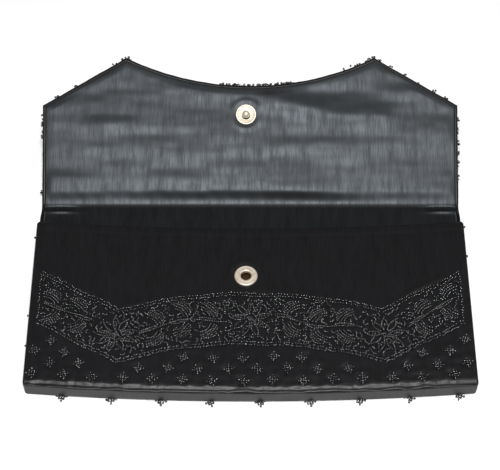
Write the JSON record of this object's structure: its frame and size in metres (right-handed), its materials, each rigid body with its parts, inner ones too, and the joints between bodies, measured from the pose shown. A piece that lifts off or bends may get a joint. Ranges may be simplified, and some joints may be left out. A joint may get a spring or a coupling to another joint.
{
  "type": "clutch purse",
  "caption": "Flat evening clutch in black satin with a scalloped fold-over flap, glass bead embroidery and a press snap.",
  "frame": {"origin": "centre of the back panel, on the surface that the purse lies on", "axes": "+X along the mouth, +Y from the bottom edge towards the flap's fold, +Z out of the front; the purse lies on its back"},
  "size_m": [0.2554, 0.2095, 0.0475],
  "materials": {
    "black_satin": "satin weave, soft sheen",
    "lining_satin": "satin weave, silvery grey-teal sheen",
    "fleece": "felted, matt",
    "stiffening_board": "plain grey board",
    "black_beads": "polished opaque black glass",
    "snap_metal": "nickel plated, lacquered",
    "snap_spring_brass": "dull brass wire"
  },
  "bodies": {
    "purse": {"back_satin": "black_satin", "back_fleece": "fleece", "back_board": "stiffening_board", "back_lining": "lining_satin", "bottom_satin": "black_satin", "bottom_board": "stiffening_board", "bottom_lining": "lining_satin", "left_gusset": "black_satin", "right_gusset": "black_satin", "left_gusset_lining": "lining_satin", "right_gusset_lining": "lining_satin", "spine_satin": "black_satin", "spine_lining": "lining_satin", "back_clusters": "black_beads", "edge_clusters": "black_beads"},
    "front": {"front_satin": "black_satin", "front_fleece": "fleece", "front_board": "stiffening_board", "front_lining": "lining_satin", "mouth_hem": "black_satin", "front_bead_borders": "black_beads", "front_bead_flowers": "black_beads", "front_bead_leaves": "black_beads", "front_bead_stems": "black_beads", "front_clusters": "black_beads", "snap_socket": "snap_metal", "snap_spring": "snap_spring_brass", "snap_socket_cap": "snap_metal"},
    "flap": {"flap_satin": "black_satin", "flap_fleece": "fleece", "flap_board": "stiffening_board", "flap_lining": "lining_satin", "flap_edge_roll": "black_satin", "flap_bead_borders": "black_beads", "flap_bead_flowers": "black_beads", "flap_bead_leaves": "black_beads", "flap_bead_stems": "black_beads", "flap_clusters": "black_beads", "snap_stud": "snap_metal", "snap_stud_rivet": "snap_metal"}
  },
  "joints": [
    {"name": "flap_fold", "type": "hinge", "parent": "purse", "child": "flap", "pos_m": [0, 0.0637, 0.01015], "axis": [1, 0, 0], "range_deg": [-29.5, 150.5], "deforming": ["spine_satin", "spine_lining"]},
    {"name": "mouth_press", "type": "hinge", "parent": "purse", "child": "front", "pos_m": [0, -0.0612, 0.0135], "axis": [-1, 0, 0], "range_deg": [0, 3], "stiffness_Nm_per_rad": 0.5, "springref_deg": -5.73, "deforming": ["left_gusset", "right_gusset", "left_gusset_lining", "right_gusset_lining"]}
  ]
}
